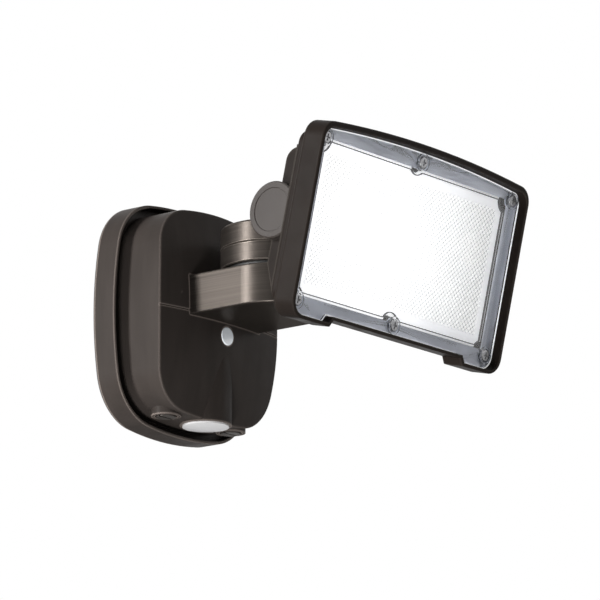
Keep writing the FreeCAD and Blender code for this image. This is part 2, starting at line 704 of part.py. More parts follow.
arm_screws = new_body("arm_screws")
sk = front(arm_screws, "arm_screw_shanks", d("arm_root") - 0.4)
for sx in (-1, 1):
    circle(sk, d("flange_screw") * sx, d("flange_screw_up"), 1.5)
pad(arm_screws, sk, 7.8)
sk = front(arm_screws, "arm_screw_heads", d("arm_root") - 2.4)
for sx in (-1, 1):
    circle(sk, d("flange_screw") * sx, d("flange_screw_up"), 3.2)
pad(arm_screws, sk, 2.4)
keep(arm_screws)

# The cheeks follow the knuckle's length, the caps follow the cheeks
cheek_in = d("barrel_half") + d("cheek_gap")
cheek_out = cheek_in + d("cheek_wide")
cap_out = cheek_out + d("cap_deep")

# Swivel: hollow post, washers and nut on the arm, drum and cap that turn on them
post = new_body("swivel_post")
sk = front(post, "post_profile")
flange_low = d("channel_top") - 3
outline(sk, [(d("post_bore"), flange_low), (d("post_flange"), flange_low),
             (d("post_flange"), d("channel_top")), (d("post_outer"), d("channel_top")),
             (d("post_outer"), d("post_tip")), (d("post_bore"), d("post_tip"))])
turn(post, sk)
keep(post, SWIVEL_PLACE)


def flat_ring(label, inner, outer, low, top):
    item = new_body(label)
    ring_sk = front(item, label + "_profile")
    outline(ring_sk, [(inner, low), (outer, low), (outer, top), (inner, top)])
    turn(item, ring_sk)
    keep(item, SWIVEL_PLACE)
    return item


flat_ring("friction_washer", d("post_outer") + 0.1, d("washer_radius"), d("arm_top"), d("drum_low"))
flat_ring("spring_washer", d("post_outer") + 0.1, d("post_outer") + 7, d("drum_seam"),
          d("drum_seam") + 1.6)

nut = new_body("swivel_nut")
sk = level(nut, "nut_hex", d("drum_seam") + 1.6)
hexagon = []
for k in range(6):
    angle = math.radians(60 * k)
    hexagon.append((d("post_outer") * round(1.65 * math.cos(angle), 6),
                    d("post_outer") * round(1.65 * math.sin(angle), 6)))
outline(sk, hexagon)
circle(sk, 0, 0, d("post_outer") + 0.02)
pad(nut, sk, 6)
keep(nut, SWIVEL_PLACE)

drum = new_body("swivel_body")
sk = level(drum, "drum_disc", d("drum_low"))
circle(sk, 0, -d("swivel_out"), d("drum_radius"))
pad(drum, sk, d("drum_seam") - d("drum_low"))


def drum_edge(e):
    return e.BoundBox.ZLength < 0.01 and e.BoundBox.XLength > 60


soften(drum, "drum_bevel", 0.6, drum_edge, "PartDesign::Chamfer")
sk = level(drum, "neck", d("neck_low"))
box_outline(sk, -d("neck_half"), -d("tilt_out"), d("neck_half"), -d("neck_back"))
pad(drum, sk, d("neck_top") - d("neck_low"))
sk = side(drum, "barrel", -d("barrel_half"))
circle(sk, -d("tilt_out"), d("tilt_up"), d("barrel_radius"))
pad(drum, sk, d("barrel_half") * 2)
sk = level(drum, "drum_bore", d("drum_seam"))
circle(sk, 0, -d("swivel_out"), d("post_outer") + d("running_gap"))
pocket(drum, sk, d("drum_seam") - d("drum_low"))
sk = side(drum, "barrel_bore", d("barrel_half"))
circle(sk, -d("tilt_out"), d("tilt_up"), d("bolt_radius") + d("running_gap"))
pocket(drum, sk, d("barrel_half") * 2)
keep(drum)

cap = new_body("swivel_cap")
sk = level(cap, "cap_disc", d("drum_seam"))
circle(sk, 0, -d("swivel_out"), d("drum_radius"))
pad(cap, sk, d("drum_top") - d("drum_seam"))
soften(cap, "cap_bevel", 0.6, lambda e: e.BoundBox.ZLength < 0.01
       and abs(e.BoundBox.ZMin - VALUE["drum_seam"]) < 0.01, "PartDesign::Chamfer")
soften(cap, "cap_round", 1.6, lambda e: e.BoundBox.ZLength < 0.01
       and abs(e.BoundBox.ZMin - VALUE["drum_top"]) < 0.01)
sk = level(cap, "cap_cavity", d("drum_seam"))
circle(sk, 0, -d("swivel_out"), d("cap_cavity"))
pocket(cap, sk, d("drum_top") - d("drum_seam") - d("cap_roof"), ahead=True)
sk = level(cap, "cap_front", d("drum_top"))
box_outline(sk, -d("neck_half") - 0.2, -d("tilt_out"), d("neck_half") + 0.2, -d("neck_back") + 0.2)
pocket(cap, sk, d("drum_top") - d("drum_seam"))
keep(cap)

washers = new_body("tilt_washers")
for sx, start in ((1, d("barrel_half")), (-1, -cheek_in)):
    sk = side(washers, "tilt_washer%d" % (sx + 1), start)
    circle(sk, 0, 0, d("barrel_radius") - 1)
    circle(sk, 0, 0, d("bolt_radius") + d("running_gap"))
    pad(washers, sk, cheek_in - d("barrel_half"))
keep(washers, BARREL_PLACE)


# Lamp head housing: rim with feet, body step, cheeks with round bosses, ribs
def head_up(value):
    return as_dim(value) - d("head_drop")


def head_outline(sk):
    x = d("head_half")
    low = head_up(-d("head_foot"))
    notch = head_up(-d("head_notch"))
    top = head_up(d("head_shoulder"))
    inner = d("foot_in") - d("foot_slope")
    outline(sk, [(-x, low), (-d("foot_in"), low), (-inner, notch), (inner, notch),
                 (d("foot_in"), low), (x, low), (x, top), (-x, top)],
            {6: (d("head_crown"), 1)})


def glass_outline(sk, gap):
    gap = as_dim(gap)
    x = d("glass_half") + gap
    low = head_up(-d("glass_foot")) - gap
    notch = head_up(-d("glass_notch")) - gap
    top = head_up(d("glass_shoulder")) + gap
    outer = d("foot_in") + 1.5
    inner = outer - d("foot_slope")
    c = d("glass_corner") + gap
    lean = math.asin((VALUE["glass_half"] - VALUE["glass_corner"]) / VALUE["glass_crown"])
    end = x - c * (1 - math.sin(lean))
    down = top - c * math.cos(lean)
    outline(sk, [(-x + c, low), (-outer, low), (-inner, notch), (inner, notch),
                 (outer, low), (x - c, low), (x, low + c), (x, down), (end, top),
                 (-end, top), (-x, down), (-x, low + c)],
            {5: (c, 1), 7: (c, 1), 8: (d("glass_crown"), 1), 9: (c, 1), 11: (c, 1)})


# Widths inside the head follow the glass and the step behind it
cavity_side = d("glass_half") - d("seat_land")
panel_side = d("glass_half") - d("panel_land")
screw_side = d("glass_half") - d("screw_land")
pan_side = d("step_half") - d("head_wall")

housing = new_body("head_housing")
sk = front(housing, "rim_block", d("head_front") - d("rim_deep"))
head_outline(sk)
pad(housing, sk, d("rim_deep"))
head_low = -VALUE["head_foot"] - VALUE["head_drop"]
head_top = VALUE["head_shoulder"] - VALUE["head_drop"]
soften(housing, "rim_corners", d("head_corner"), along_y_at(
    [(sx * VALUE["head_half"], z) for sx in (-1, 1) for z in (head_low, head_top)], 0.5))


def rim_back_edge(e):
    flat = e.BoundBox.YLength < 0.01
    return flat and abs(e.BoundBox.YMin + VALUE["head_front"] - VALUE["rim_deep"]) < 0.01


def rim_front_edge(e):
    return e.BoundBox.YLength < 0.01 and abs(e.BoundBox.YMin + VALUE["head_front"]) < 0.01


soften(housing, "rim_back_round", 2.5, rim_back_edge)
soften(housing, "rim_front_round", 1.2, rim_front_edge)
sk = front(housing, "step_block", d("step_back"))
box_outline(sk, -d("step_half"), head_up(-d("step_up")), d("step_half"), head_up(d("step_up")))
pad(housing, sk, d("head_front") - d("rim_deep") - d("step_back") + 1)
step_z = [s * VALUE["step_up"] - VALUE["head_drop"] for s in (-1, 1)]
soften(housing, "step_corners", d("step_corner"), along_y_at(
    [(sx * VALUE["step_half"], z) for sx in (-1, 1) for z in step_z], 0.5))
soften(housing, "step_round", 2.5, lambda e: e.BoundBox.YLength < 0.01
       and abs(e.BoundBox.YMin + VALUE["step_back"]) < 0.01)


def cheek(name, start):
    sk = side(housing, name, start)
    top = head_up(d("cheek_top"))
    low = head_up(-d("cheek_low"))
    deep = d("step_back") + 1
    back = d("cheek_back")
    curve = d("cheek_round")
    outline(sk, [(-deep, low), (back - 8, low), (back, low + 18), (back, top - curve),
                 (back - curve, top), (-deep, top)], {3: (curve, 1)})
    pad(housing, sk, cheek_out - cheek_in)
    sk = side(housing, name + "_boss", start)
    circle(sk, 0, 0, d("cheek_boss"))
    pad(housing, sk, cheek_out - cheek_in)


cheek("cheek_right", cheek_in)
cheek("cheek_left", -cheek_out)
sk = front(housing, "back_ribs", d("step_back") - 3)
for k in range(4):
    near = d("step_half") - 21 + 5 * k
    low = head_up(-44)
    top = head_up(44)
    box_outline(sk, near, low, near + 2, top)
    box_outline(sk, -near - 2, low, -near, top)
pad(housing, sk, 4)
sk = front(housing, "glass_seat", d("head_front"))
glass_outline(sk, d("glass_gap"))
pocket(housing, sk, d("head_front") - d("seat_front"))
sk = front(housing, "light_box", d("seat_front"))
box_outline(sk, -cavity_side, head_up(-d("cavity_down")), cavity_side,
            head_up(d("cavity_up")))
pocket(housing, sk, d("seat_front") - d("cavity_floor"))
sk = front(housing, "pan_space", d("cavity_floor"))
box_outline(sk, -pan_side, head_up(-d("pan_up")), pan_side, head_up(d("cavity_up")))
pocket(housing, sk, d("cavity_floor") - d("pan_floor"))
sk = front(housing, "cheek_space", d("pan_floor"))
for sx in (-1, 1):
    near = cheek_in + d("head_wall")
    far = cheek_out - d("head_wall")
    if sx > 0:
        box_outline(sk, near, head_up(-28), far, head_up(36))
    else:
        box_outline(sk, -far, head_up(-28), -near, head_up(36))
pocket(housing, sk, d("pan_floor") + d("cheek_back") - d("head_wall") - 0.5)

SCREWS = [(0, d("mid_top_screw")), (0, -d("mid_low_screw"))]
for sx in (-1, 1):
    SCREWS.append((screw_side * sx, d("top_screw")))
    SCREWS.append((screw_side * sx, -d("low_screw")))
sk = front(housing, "glass_lugs", d("cavity_floor") - 0.5)
for cx, cz in SCREWS:
    circle(sk, cx, head_up(cz), d("lug_radius"))
pad(housing, sk, d("seat_front") - d("cavity_floor") + 0.5)
sk = front(housing, "glass_lug_holes", d("seat_front"))
for cx, cz in SCREWS:
    circle(sk, cx, head_up(cz), 1.55)
pocket(housing, sk, 7.5)
sk = side(housing, "bolt_bore", cheek_out + 1)
circle(sk, 0, 0, d("bolt_radius") + 0.02)
pocket(housing, sk, cheek_out * 2 + 2)
keep(housing, TILT_PLACE)

# Tilt bolt, nut and the two round caps over them
bolt = new_body("tilt_bolt")
sk = side(bolt, "bolt_shank", -cheek_out)
circle(sk, 0, 0, d("bolt_radius"))
pad(bolt, sk, cheek_out * 2 + 4.2)
sk = side(bolt, "bolt_head", -cheek_out - 4)
points = []
for k in range(6):
    angle = math.radians(60 * k)
    points.append((d("bolt_radius") * round(1.75 * math.cos(angle), 6),
                   d("bolt_radius") * round(1.75 * math.sin(angle), 6)))
outline(sk, points)
pad(bolt, sk, 4)
keep(bolt, TILT_PLACE)

bolt_nut = new_body("tilt_nut")
sk = side(bolt_nut, "bolt_nut_hex", cheek_out)
outline(sk, points)
circle(sk, 0, 0, d("bolt_radius") + 0.02)
pad(bolt_nut, sk, 4)
keep(bolt_nut, TILT_PLACE)


def pivot_cap(label, sign):
    item = new_body(label)
    cap_sk = front(item, label + "_profile")
    near = cheek_out
    far = cap_out
    r = d("cap_radius")
    wall = cap_out - 1.4
    shape = [(near, r - 3.2), (near, r), (far - 0.8, r), (far, r - 0.8), (far, r - 4.0),
             (far - 0.5, r - 4.4), (far - 0.5, as_dim(0)), (wall - 0.4, as_dim(0)),
             (wall - 0.4, r - 3.2)]
    outline(cap_sk, [(x * sign, z) for x, z in shape])
    turn(item, cap_sk, "H_Axis")
    keep(item, TILT_PLACE)


pivot_cap("pivot_cap_right", 1)
pivot_cap("pivot_cap_left", -1)

# Light source: driver, board, chips, reflector pan, prismatic panel
driver = new_body("driver_module")
sk = front(driver, "driver_case", 4)
box_outline(sk, cheek_in + 4, head_up(-27), cheek_out - 4, -8)
pad(driver, sk, 20)
soften(driver, "driver_edges", 1.5, lambda e: True)
keep(driver, TILT_PLACE)

led_board = new_body("led_board")
sk = front(led_board, "led_plate", d("pan_floor"))
box_outline(sk, -pan_side + 2, head_up(-d("pan_up") + 3),
            pan_side - 2, head_up(d("cavity_up") - 4))
pad(led_board, sk, 1.6)
keep(led_board, TILT_PLACE)

leds = new_body("led_chips")
sk = front(leds, "chip_grid", d("pan_floor") + 1.6)
for i in range(5):
    for j in range(4):
        cx = d("chip_pitch") * (i - 2)
        cz = head_up(d("chip_rise") * (j - 1.5))
        box_outline(sk, cx - 2.5, cz - 2.5, cx + 2.5, cz + 2.5)
pad(leds, sk, 1.0)
keep(leds, TILT_PLACE)

pan = new_body("reflector")
sk = front(pan, "pan_block", d("pan_floor") + 2.6)
box_outline(sk, -pan_side + 0.5, head_up(-d("pan_up") + 4),
            pan_side - 0.5, head_up(d("cavity_up") - 3))
pad(pan, sk, d("panel_back") - d("pan_floor") - 3.2)
sk = front(pan, "pan_mouth", d("panel_back") - 0.6)
box_outline(sk, -pan_side + 2, head_up(-d("pan_up") + 5.5),
            pan_side - 2, head_up(d("cavity_up") - 4.5))
mouth = pocket(pan, sk, d("panel_back") - d("pan_floor") - 4.8)
mouth.TaperAngle = -12
sk = front(pan, "chip_windows", d("pan_floor") + 6)
for i in range(5):
    for j in range(4):
        circle(sk, d("chip_pitch") * (i - 2), head_up(d("chip_rise") * (j - 1.5)), 4.2)
pocket(pan, sk, 6)
keep(pan, TILT_PLACE)

panel = new_body("prismatic_panel")
sk = front(panel, "panel_plate", d("panel_back"))
box_outline(sk, -panel_side, head_up(-d("panel_down")), panel_side, head_up(d("panel_up")))
pad(panel, sk, d("panel_thick"))
sk = front(panel, "panel_notches", d("panel_back") + d("panel_thick"))
for k, (cx, cz) in enumerate(SCREWS):
    circle(sk, cx, head_up(cz), d("lug_radius") + (2.2 if k < 2 else 4.0))
pocket(panel, sk, d("panel_thick"))
keep(panel, TILT_PLACE)

# Glass with its gasket and six screws
glass_seal = new_body("glass_gasket")
sk = front(glass_seal, "seal_plate", d("seat_front"))
glass_outline(sk, as_dim(-0.6))
pad(glass_seal, sk, d("glass_back") - d("seat_front"))
sk = front(glass_seal, "seal_opening", d("glass_back"))
box_outline(sk, -cavity_side + 1, head_up(-d("cavity_down") + 1), cavity_side - 1,
            head_up(d("cavity_up") - 1))
pocket(glass_seal, sk, d("glass_back") - d("seat_front"))
sk = front(glass_seal, "seal_tabs", d("seat_front"))
for cx, cz in SCREWS:
    circle(sk, cx, head_up(cz), d("lug_radius"))
pad(glass_seal, sk, d("glass_back") - d("seat_front"))
sk = front(glass_seal, "seal_holes", d("glass_back"))
for cx, cz in SCREWS:
    circle(sk, cx, head_up(cz), 1.6)
pocket(glass_seal, sk, d("glass_back") - d("seat_front"))
keep(glass_seal, TILT_PLACE)

glass = new_body("clear_lens")
sk = front(glass, "glass_plate", d("glass_back"))
glass_outline(sk, as_dim(0))
pad(glass, sk, d("glass_front") - d("glass_back"))
sk = front(glass, "glass_rings", d("glass_front") - 0.5)
for cx, cz in SCREWS:
    circle(sk, cx, head_up(cz), 5.6)
pad(glass, sk, 1.9)
sk = front(glass, "glass_sinks", d("glass_front") + 1.4)
for cx, cz in SCREWS:
    circle(sk, cx, head_up(cz), 4.3)
pocket(glass, sk, 1.4)
sk = front(glass, "glass_holes", d("glass_front"))
for cx, cz in SCREWS:
    circle(sk, cx, head_up(cz), 1.8)
pocket(glass, sk, d("glass_front") - d("glass_back"))
keep(glass, TILT_PLACE)

lens_screws = new_body("lens_screws")
sk = front(lens_screws, "lens_screw_shanks", d("seat_front") - 7)
for cx, cz in SCREWS:
    circle(sk, cx, head_up(cz), 1.5)
pad(lens_screws, sk, d("glass_front") - d("seat_front") + 7.2)
sk = front(lens_screws, "lens_screw_heads", d("glass_front"))
for cx, cz in SCREWS:
    circle(sk, cx, head_up(cz), 3.7)
pad(lens_screws, sk, 1.5)
soften(lens_screws, "lens_screw_round", 0.6, lambda e: e.BoundBox.YLength < 0.01
       and abs(e.BoundBox.YMin + VALUE["glass_front"] + 1.5) < 0.01)
cross_recess(lens_screws, "lens_screw_cross", [(cx, head_up(cz)) for cx, cz in SCREWS],
             d("glass_front") + 1.5, 0.9, 2.2, 0.5)
keep(lens_screws, TILT_PLACE)

# Checks and files
doc.recompute()
for item in doc.Objects:
    if "Invalid" in item.State or "Error" in item.State:
        raise ValueError("object failed: " + item.Name)
os.makedirs("parts", exist_ok=True)
for item in PARTS:
    shape = item.Shape
    if shape.isNull() or not shape.isValid() or not shape.Solids:
        raise ValueError("bad shape: " + item.Label)
    shape.exportStep("parts/" + item.Label + ".step")
    box = shape.BoundBox
    print("%-18s solids %d volume %.0f  x %.1f %.1f  y %.1f %.1f  z %.1f %.1f" % (
        item.Label, len(shape.Solids), shape.Volume, box.XMin, box.XMax,
        box.YMin, box.YMax, box.ZMin, box.ZMax))
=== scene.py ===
import bpy
import json
import math
from mathutils import Matrix, Vector


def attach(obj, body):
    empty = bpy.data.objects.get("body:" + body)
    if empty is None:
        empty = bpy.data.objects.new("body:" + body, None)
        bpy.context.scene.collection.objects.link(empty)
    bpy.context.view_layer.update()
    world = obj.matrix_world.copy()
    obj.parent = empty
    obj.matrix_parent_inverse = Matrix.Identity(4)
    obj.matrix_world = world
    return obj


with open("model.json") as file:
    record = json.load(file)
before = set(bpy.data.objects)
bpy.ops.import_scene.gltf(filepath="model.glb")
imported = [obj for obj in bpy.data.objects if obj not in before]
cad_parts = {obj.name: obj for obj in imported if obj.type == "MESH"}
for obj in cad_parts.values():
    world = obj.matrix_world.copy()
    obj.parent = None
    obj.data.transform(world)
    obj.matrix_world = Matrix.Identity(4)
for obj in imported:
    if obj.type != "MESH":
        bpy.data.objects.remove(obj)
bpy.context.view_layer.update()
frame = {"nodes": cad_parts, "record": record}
nodes = frame["nodes"]

# The lamp head's tilt axis and rest angle. The lens middle lies DROP below the axis.
PIVOT = Vector((0.0, -0.142, 0.0422))
TILT = math.radians(13.2)
DROP = 0.005
HEAD = Matrix.Translation(PIVOT) @ Matrix.Rotation(TILT, 4, "X")

# Relief heights in metres, and the part of its range that a noise or the brushed lines use
FINE_RELIEF = 0.00002
GRAIN_RELIEF = 0.00004
FOAM_RELIEF = 0.0002
RELIEF_STRENGTH = 0.5
NOISE_LOW = 0.35
NOISE_HIGH = 0.65
LINES_LOW = 0.30
LINES_HIGH = 0.70

# Wear and painted highlight along convex edges: how far in from an edge it reaches, and how free
# the space on the inside is where it begins and where it is full
WEAR_AND_SHEEN_REACH = 0.0012
WEAR_AND_SHEEN_REACH_METAL = 0.0006
WEAR_AND_SHEEN_BEGINS = 0.985
WEAR_AND_SHEEN_FULL = 0.74
WEAR_AND_SHEEN_SAMPLES = 12

# The panel's glow: its brightest spot, how far it reaches, how much of the way in it is full,
# and its least and most strength.
# Between the prisms, as painted shade, the glow starts at the valley glow share of that and the
# colour is dark;
# glow and colour are full at the valley rise share of a prism's height.
GLOW_MIDDLE = (-0.035, -0.1915, 0.0255)
GLOW_REACH = 0.115
GLOW_PEAK = 0.7
GLOW_LEAST = 0.46
GLOW_MOST = 1.25
VALLEY_SHADE_RISE = 0.42
VALLEY_SHADE_GLOW = 0.22


# Materials
def new_material(name):
    """A new material with its node tree and its main shader."""
    mat = bpy.data.materials.new(name)
    mat.use_nodes = True
    tree = mat.node_tree
    return mat, tree, tree.nodes["Principled BSDF"]


def add(tree, kind, **settings):
    """A new node of a tree, with its settings."""
    node = tree.nodes.new(kind)
    for key, value in settings.items():
        setattr(node, key, value)
    return node


def scaled(colour, factor):
    return tuple(c * factor for c in colour)


def noise(tree, scale, detail, stretch=(1, 1, 1)):
    """Solid noise in the piece's own space, closer together along an axis with more stretch."""
    coords = add(tree, "ShaderNodeTexCoord")
    mapping = add(tree, "ShaderNodeMapping")
    mapping.inputs["Scale"].default_value = stretch
    texture = add(tree, "ShaderNodeTexNoise")
    texture.inputs["Scale"].default_value = scale
    texture.inputs["Detail"].default_value = detail
    tree.links.new(coords.outputs["Object"], mapping.inputs["Vector"])
    tree.links.new(mapping.outputs["Vector"], texture.inputs["Vector"])
    return texture


def spread(tree, texture, low, high, a=NOISE_LOW, b=NOISE_HIGH):
    """Turn a texture's values from a to b into values from low to high."""
    span = add(tree, "ShaderNodeMapRange")
    span.inputs["From Min"].default_value = a
    span.inputs["From Max"].default_value = b
    span.inputs["To Min"].default_value = low
    span.inputs["To Max"].default_value = high
    tree.links.new(texture.outputs["Fac"], span.inputs["Value"])
    return span


def gloss(tree, shader, texture, low, high, a=NOISE_LOW, b=NOISE_HIGH):
    """Roughness from low to high by a texture."""
    span = spread(tree, texture, low, high, a, b)
    tree.links.new(span.outputs["Result"], shader.inputs["Roughness"])


def tint(tree, shader, texture, dark, light, a=NOISE_LOW, b=NOISE_HIGH):
    """Colour a surface from dark to light by a texture."""
    ramp = add(tree, "ShaderNodeValToRGB")
    for stop, position, colour in zip(ramp.color_ramp.elements, (a, b), (dark, light)):
        stop.position = position
        stop.color = (*colour, 1)
    tree.links.new(texture.outputs["Fac"], ramp.inputs["Fac"])
    tree.links.new(ramp.outputs["Color"], shader.inputs["Base Color"])
    return ramp


def bump(tree, shader, texture, height):
    relief = add(tree, "ShaderNodeBump")
    relief.inputs["Distance"].default_value = height
    relief.inputs["Strength"].default_value = RELIEF_STRENGTH
    tree.links.new(texture.outputs["Fac"], relief.inputs["Height"])
    tree.links.new(relief.outputs["Normal"], shader.inputs["Normal"])


def wear_and_edge_sheen(tree, shader, base, edge, reach_in):
    """Make convex edges lighter: worn coat and a painted highlight along them."""
    inside = add(tree, "ShaderNodeAmbientOcclusion", inside=True, samples=WEAR_AND_SHEEN_SAMPLES)
    inside.inputs["Distance"].default_value = reach_in
    span = add(tree, "ShaderNodeMapRange")
    span.inputs["From Min"].default_value = WEAR_AND_SHEEN_BEGINS
    span.inputs["From Max"].default_value = WEAR_AND_SHEEN_FULL
    tree.links.new(inside.outputs["AO"], span.inputs["Value"])
    blend = add(tree, "ShaderNodeMix", data_type="RGBA")
    blend.inputs["B"].default_value = (*edge, 1)
    tree.links.new(span.outputs["Result"], blend.inputs["Factor"])
    tree.links.new(base.outputs["Color"], blend.inputs["A"])
    tree.links.new(blend.outputs["Result"], shader.inputs["Base Color"])


def coated(name, colour, rough, metallic=0.0, vary=0.10, grain=1400, relief=GRAIN_RELIEF,
           shine=0.5, edge=None, streak=(1, 1, 1)):
    """Satin coat: slow colour drift, uneven gloss and a fine grain; with an edge colour, convex
    edges lighter as wear and painted highlight.
    """
    mat, tree, shader = new_material(name)
    shader.inputs["Specular IOR Level"].default_value = shine
    shader.inputs["Metallic"].default_value = metallic
    drift = noise(tree, scale=28, detail=4, stretch=streak)
    base = tint(tree, shader, drift, scaled(colour, 1 - vary), scaled(colour, 1 + vary))
    if edge:
        wear_and_edge_sheen(tree, shader, base, edge, WEAR_AND_SHEEN_REACH)
    gloss(tree, shader, noise(tree, scale=90, detail=3), rough - 0.04, rough + 0.05)
    bump(tree, shader, noise(tree, scale=grain, detail=2), relief)
    return mat


def metal(name, colour, rough, stretch=(1, 1, 1), grain=900):
    """Bare metal with grain or drawn lines."""
    mat, tree, shader = new_material(name)
    shader.inputs["Metallic"].default_value = 1.0
    lines = noise(tree, scale=grain, detail=3, stretch=stretch)
    tint(tree, shader, lines, scaled(colour, 0.85), colour)
    gloss(tree, shader, lines, rough - 0.06, rough + 0.08)
    bump(tree, shader, lines, FINE_RELIEF)
    return mat


def brushed(name, colour, rough, edge):
    """Dark metal with long fine lines round the arm and the drum, and convex edges lighter as wear
    and painted highlight.
    """
    mat, tree, shader = new_material(name)
    shader.inputs["Metallic"].default_value = 0.75
    shader.inputs["Specular IOR Level"].default_value = 0.2
    shader.inputs["Specular Tint"].default_value = (0.60, 0.56, 0.53, 1)
    lines = noise(tree, scale=55, detail=3, stretch=(0.12, 0.12, 34))
    base = tint(tree, shader, lines, scaled(colour, 0.80), scaled(colour, 1.20),
                LINES_LOW, LINES_HIGH)
    wear_and_edge_sheen(tree, shader, base, edge, WEAR_AND_SHEEN_REACH_METAL)
    gloss(tree, shader, lines, rough - 0.05, rough + 0.07, LINES_LOW, LINES_HIGH)
    return mat


def milky(name, colour, rough, glow=0.0):
    """Cloudy plastic with a light gloss coat."""
    mat, tree, shader = new_material(name)
    tint(tree, shader, noise(tree, scale=120, detail=2), scaled(colour, 0.95), colour)
    bump(tree, shader, noise(tree, scale=900, detail=2), FINE_RELIEF)
    shader.inputs["Roughness"].default_value = rough
    shader.inputs["Coat Weight"].default_value = 0.3
    shader.inputs["Emission Color"].default_value = (1, 1, 1, 1)
    shader.inputs["Emission Strength"].default_value = glow
    return mat


def prism(name, cut):
    """White plastic lit from behind by the chips; where it is cut into prisms, painted shade makes
    it darker between them.
    """
    mat, tree, shader = new_material(name)
    if cut:
        # painted shade: dark colour and less glow low down between the prisms
        lift = add(tree, "ShaderNodeAttribute", attribute_name="lift")
        tint(tree, shader, lift, (0.18, 0.18, 0.18), (0.93, 0.93, 0.92), 0.0, VALLEY_SHADE_RISE)
        valley = spread(tree, lift, VALLEY_SHADE_GLOW, 1.0, 0.0, VALLEY_SHADE_RISE)
    else:
        soft = noise(tree, scale=60, detail=2)
        tint(tree, shader, soft, (0.86, 0.86, 0.90), (0.90, 0.90, 0.94))
        valley = spread(tree, soft, 0.74, 0.80)
    shader.inputs["Roughness"].default_value = 0.3
    shader.inputs["Emission Color"].default_value = (1, 1, 1, 1)
    # the chips behind make the left and middle of the panel brightest
    coords = add(tree, "ShaderNodeTexCoord")
    mapping = add(tree, "ShaderNodeMapping")
    mapping.inputs["Scale"].default_value = (1 / GLOW_REACH,) * 3
    mapping.inputs["Location"].default_value = tuple(-c / GLOW_REACH for c in GLOW_MIDDLE)
    ball = add(tree, "ShaderNodeTexGradient", gradient_type="SPHERICAL")
    glow = spread(tree, ball, GLOW_LEAST, GLOW_MOST, 0.0, GLOW_PEAK)
    tree.links.new(coords.outputs["Object"], mapping.inputs["Vector"])
    tree.links.new(mapping.outputs["Vector"], ball.inputs["Vector"])
    part = add(tree, "ShaderNodeMath", operation="MULTIPLY")
    tree.links.new(glow.outputs["Result"], part.inputs[0])
    tree.links.new(valley.outputs["Result"], part.inputs[1])
    tree.links.new(part.outputs["Value"], shader.inputs["Emission Strength"])
    bump(tree, shader, noise(tree, scale=1200, detail=1), FINE_RELIEF)
    return mat


def clear(name):
    """Clear plastic, so faintly uneven that it keeps a sharp view through it."""
    mat, tree, shader = new_material(name)
    shader.inputs["Transmission Weight"].default_value = 1.0
    shader.inputs["IOR"].default_value = 1.45
    soft = noise(tree, scale=35, detail=2)
    tint(tree, shader, soft, (0.92, 0.93, 0.94), (0.97, 0.975, 0.98))
    gloss(tree, shader, soft, 0.02, 0.05)
    return mat


# Three looks that no slot of the record has: round caps, cut prisms with painted shade between
# them, and the plate's edge as a glowing painted highlight
bronze_cap = coated("bronze_cap_coat", (0.036, 0.030, 0.027), 0.36, grain=900, shine=0.12)
prism_valley_shade = prism("prism_valley_shade_plastic", True)
# Painted highlight: a pale strip that glows along the plate's edge, where the rim's bevel catches
# light.
plate_edge_highlight = milky("clear_plate_edge_highlight", (0.80, 0.82, 0.85), 0.25, glow=0.4)

# The edge colours below are wear and painted highlight along convex edges.
SLOTS = {
    "bronze_shell": coated("bronze_shell_coat", (0.0350, 0.0292, 0.0262), 0.40, vary=0.09,
                           grain=1700, shine=0.03, edge=(0.150, 0.126, 0.112),
                           streak=(3, 3, 0.5)),
    "bronze_arm": brushed("bronze_arm_brushed", (0.043, 0.037, 0.0325), 0.33,
                          edge=(0.22, 0.19, 0.165)),
    # Painted shade: the head has the shell's bronze finish, coloured darker here as painted shade.
    "bronze_head": coated("bronze_head_coat_painted_shade", (0.0140, 0.0108, 0.0092), 0.40, grain=1700,
                          shine=0.03, edge=(0.030, 0.025, 0.021)),
    "foam": coated("foam_black", (0.03, 0.03, 0.03), 0.85, grain=2500, relief=FOAM_RELIEF),
    "zinc_steel": metal("zinc_steel_brushed", (0.62, 0.61, 0.58), 0.34, (1, 1, 12)),
    "dark_screw": coated("dark_screw_coat", (0.085, 0.075, 0.068), 0.33, metallic=0.5, grain=2000),
    "bright_screw": metal("bright_screw_polish", (0.36, 0.36, 0.37), 0.30, grain=2500),
    "black_plastic": coated("black_plastic_fine", (0.022, 0.022, 0.022), 0.5),
    "blue_plastic": coated("blue_plastic_fine", (0.03, 0.10, 0.28), 0.45),
    "nylon": coated("nylon_cream", (0.72, 0.69, 0.62), 0.5),
    "board_green": coated("board_green_mask", (0.02, 0.12, 0.05), 0.35, grain=600),
    "board_white": coated("board_white_mask", (0.82, 0.82, 0.82), 0.4, grain=600),
    # Painted light: the seal is lightened and blued well past grey rubber, standing in for the
    # light the clear plate keeps off it.
    "seal_grey": coated("seal_rubber_painted_light", (0.80, 0.83, 0.93), 0.5, grain=1500),
    "white_pan": coated("white_pan_gloss", (0.86, 0.86, 0.86), 0.25, grain=800),
    "milky_lens": milky("milky_lens_plastic", (0.66, 0.655, 0.66), 0.35),
    "pale_window": milky("pale_window_plastic", (0.90, 0.95, 1.0), 0.22),
    "led_yellow": milky("led_phosphor", (0.9, 0.75, 0.25), 0.4),
    "prism_white": prism("prism_white_plastic", False),
    "clear_plate": clear("clear_plate_polish"),
}

for row in frame["record"]["subparts"]:
    obj = nodes[row["node"]]
    obj.data.materials.clear()
    obj.data.materials.append(SLOTS[row["material_slot"]])
for name in ("pivot_cap_right", "pivot_cap_left"):
    nodes[name].data.materials[0] = bronze_cap


